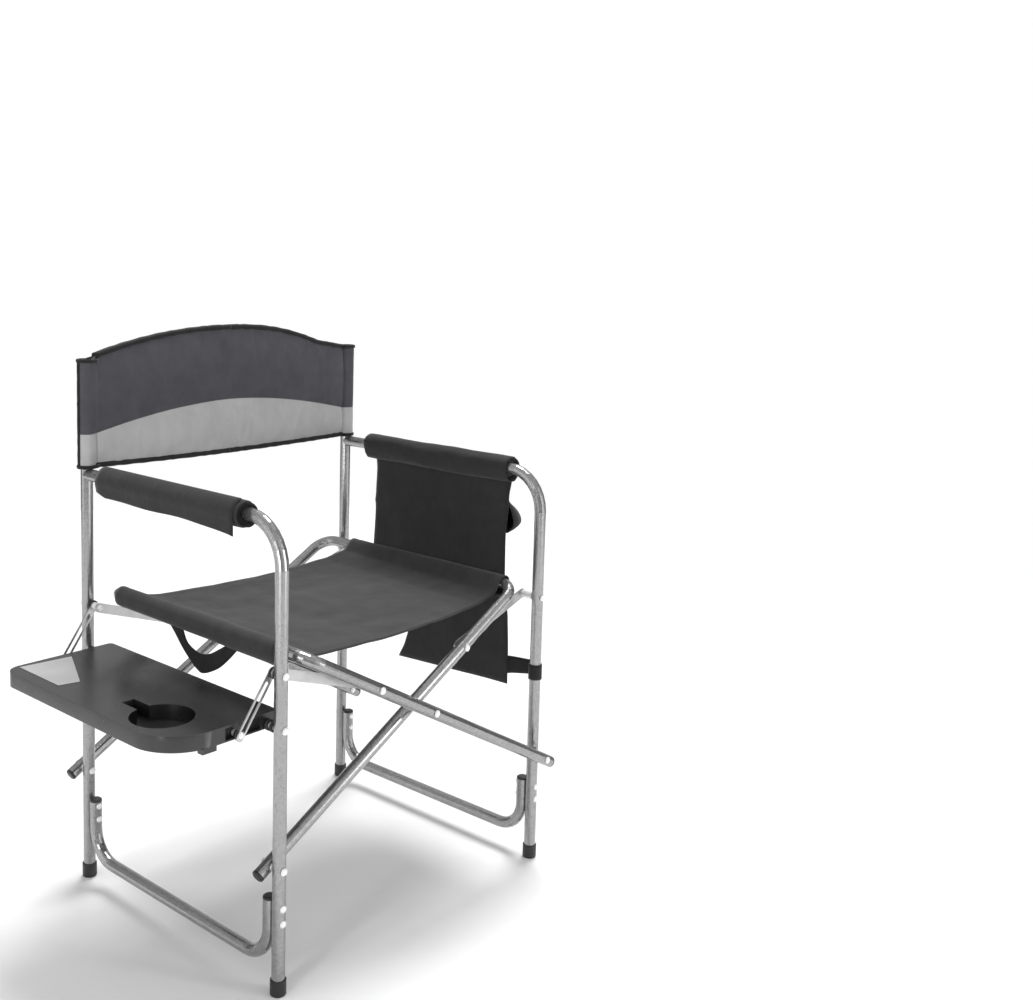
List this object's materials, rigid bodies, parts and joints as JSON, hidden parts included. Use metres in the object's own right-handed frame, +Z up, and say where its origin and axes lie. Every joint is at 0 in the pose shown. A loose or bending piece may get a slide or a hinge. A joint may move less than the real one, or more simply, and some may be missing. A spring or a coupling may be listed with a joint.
{
  "type": "director chair",
  "caption": "Folding director chair: bent-tube side frames, scissor-mounted sling seat, padded backrest, fold-up side table with cup well, and a hanging side organizer.",
  "frame": {"origin": "centre of the whole chair's footprint box, on the floor under the foot caps", "axes": "+Z up, -Y towards the front of the chair (a sitter faces -Y), +X towards the organizer's side and -X towards the table's side"},
  "size_m": [0.778, 0.5344, 0.884],
  "materials": {
    "frame_tube": "silver-grey hammertone powder coat",
    "rivet_steel": "bright zinc",
    "flat_bar": "satin",
    "black_plastic": "matte",
    "table_plastic": "satin, lightly grained",
    "seat_fabric": "plain-woven polyester",
    "cover_fabric": "plain-woven polyester",
    "backrest_fabric": "padded polyester, charcoal above and light grey below"
  },
  "bodies": {
    "left_frame": {"left_arm_tube": "frame_tube", "left_back_post": "frame_tube", "left_lower_rail": "frame_tube", "left_front_foot": "black_plastic", "left_rear_foot": "black_plastic", "left_front_rail_plug": "black_plastic", "left_rear_rail_plug": "black_plastic", "left_front_lower_pivot": "rivet_steel", "left_rear_lower_pivot": "rivet_steel", "left_front_strut_pin": "rivet_steel", "left_rear_strut_pin": "rivet_steel", "table_front_hinge_pin": "rivet_steel", "table_rear_hinge_pin": "rivet_steel", "left_arm_pad": "cover_fabric", "back_sleeve_left": "backrest_fabric", "back_panel_left": "backrest_fabric"},
    "right_frame": {"right_arm_tube": "frame_tube", "right_back_post": "frame_tube", "right_lower_rail": "frame_tube", "right_front_foot": "black_plastic", "right_rear_foot": "black_plastic", "right_front_rail_plug": "black_plastic", "right_rear_rail_plug": "black_plastic", "right_front_lower_pivot": "rivet_steel", "right_rear_lower_pivot": "rivet_steel", "right_front_strut_pin": "rivet_steel", "right_rear_strut_pin": "rivet_steel", "organizer_roll": "cover_fabric", "organizer_panel": "cover_fabric", "organizer_large_pocket": "cover_fabric", "organizer_small_pocket": "cover_fabric", "organizer_strap": "cover_fabric", "back_sleeve_right": "backrest_fabric", "back_panel_right": "backrest_fabric"},
    "scissor_a": {"scissor_tube_a": "frame_tube", "scissor_cap_a_front": "black_plastic", "scissor_cap_a_rear": "black_plastic", "strut_rivet_a_front": "rivet_steel", "strut_rivet_a_rear": "rivet_steel", "crossing_pin_front": "rivet_steel"},
    "scissor_b": {"scissor_tube_b": "frame_tube", "scissor_cap_b_front": "black_plastic", "scissor_cap_b_rear": "black_plastic", "strut_rivet_b_front": "rivet_steel", "strut_rivet_b_rear": "rivet_steel", "crossing_pin_rear": "rivet_steel", "seat_middle": "seat_fabric"},
    "left_struts": {"left_front_strut": "flat_bar", "left_rear_strut": "flat_bar"},
    "right_struts": {"right_front_strut": "flat_bar", "right_rear_strut": "flat_bar"},
    "side_table": {"table_top": "table_plastic", "table_front_bracket_pin": "rivet_steel", "table_rear_bracket_pin": "rivet_steel"},
    "table_brackets": {"table_front_bracket": "flat_bar", "table_rear_bracket": "flat_bar"},
    "seat_left": {"seat_left": "seat_fabric"},
    "seat_right": {"seat_right": "seat_fabric"},
    "carry_handle": {"carry_handle": "cover_fabric"}
  },
  "joints": [
    {"name": "fold", "type": "hinge", "parent": "left_frame", "child": "scissor_b", "pos_m": [-0.223, 0, 0.179], "axis": [0, -1, 0], "range_deg": [0, 41], "deforming": ["back_panel_left", "back_panel_right", "seat_middle"]},
    {"name": "crossing_pivot", "type": "hinge", "parent": "scissor_b", "child": "scissor_a", "pos_m": [0.057, 0, 0.33327], "axis": [0, -1, 0], "range_deg": [-86.2, 0]},
    {"name": "right_frame_pivot", "type": "hinge", "parent": "scissor_a", "child": "right_frame", "pos_m": [0.337, 0, 0.179], "axis": [0, -1, 0], "range_deg": [0, 41.1]},
    {"name": "left_strut_swing", "type": "hinge", "parent": "left_frame", "child": "left_struts", "pos_m": [-0.223, 0, 0.452], "axis": [0, -1, 0], "range_deg": [0, 84]},
    {"name": "right_strut_swing", "type": "hinge", "parent": "right_frame", "child": "right_struts", "pos_m": [0.337, 0, 0.452], "axis": [0, -1, 0], "range_deg": [-84, 0]},
    {"name": "seat_left_fold", "type": "hinge", "parent": "scissor_a", "child": "seat_left", "pos_m": [-0.193, 0, 0.471], "axis": [0, -1, 0], "range_deg": [-28.5, 0]},
    {"name": "seat_right_fold", "type": "hinge", "parent": "scissor_b", "child": "seat_right", "pos_m": [0.307, 0, 0.471], "axis": [0, -1, 0], "range_deg": [0, 28.5]},
    {"name": "handle_swing", "type": "hinge", "parent": "scissor_a", "child": "carry_handle", "pos_m": [-0.193, 0, 0.471], "axis": [0, -1, 0], "range_deg": [0, 45.5]},
    {"name": "table_hinge", "type": "hinge", "parent": "left_frame", "child": "side_table", "pos_m": [-0.223, 0, 0.377], "axis": [0, 1, 0], "range_deg": [0, 90]},
    {"name": "bracket_swing", "type": "hinge", "parent": "left_frame", "child": "table_brackets", "pos_m": [-0.223, 0, 0.452], "axis": [0, -1, 0], "range_deg": [0, 27]}
  ],
  "couplings": [
    {"joint": "crossing_pivot", "follows": "fold", "ratio": -2.1},
    {"joint": "right_frame_pivot", "follows": "fold", "ratio": 1},
    {"joint": "left_strut_swing", "follows": "fold", "ratio": 2.028},
    {"joint": "right_strut_swing", "follows": "fold", "ratio": -2.028},
    {"joint": "seat_left_fold", "follows": "fold", "ratio": -0.6825},
    {"joint": "seat_right_fold", "follows": "fold", "ratio": 0.6825},
    {"joint": "handle_swing", "follows": "fold", "ratio": 1.1},
    {"joint": "bracket_swing", "follows": "table_hinge", "ratio": 0.295}
  ]
}
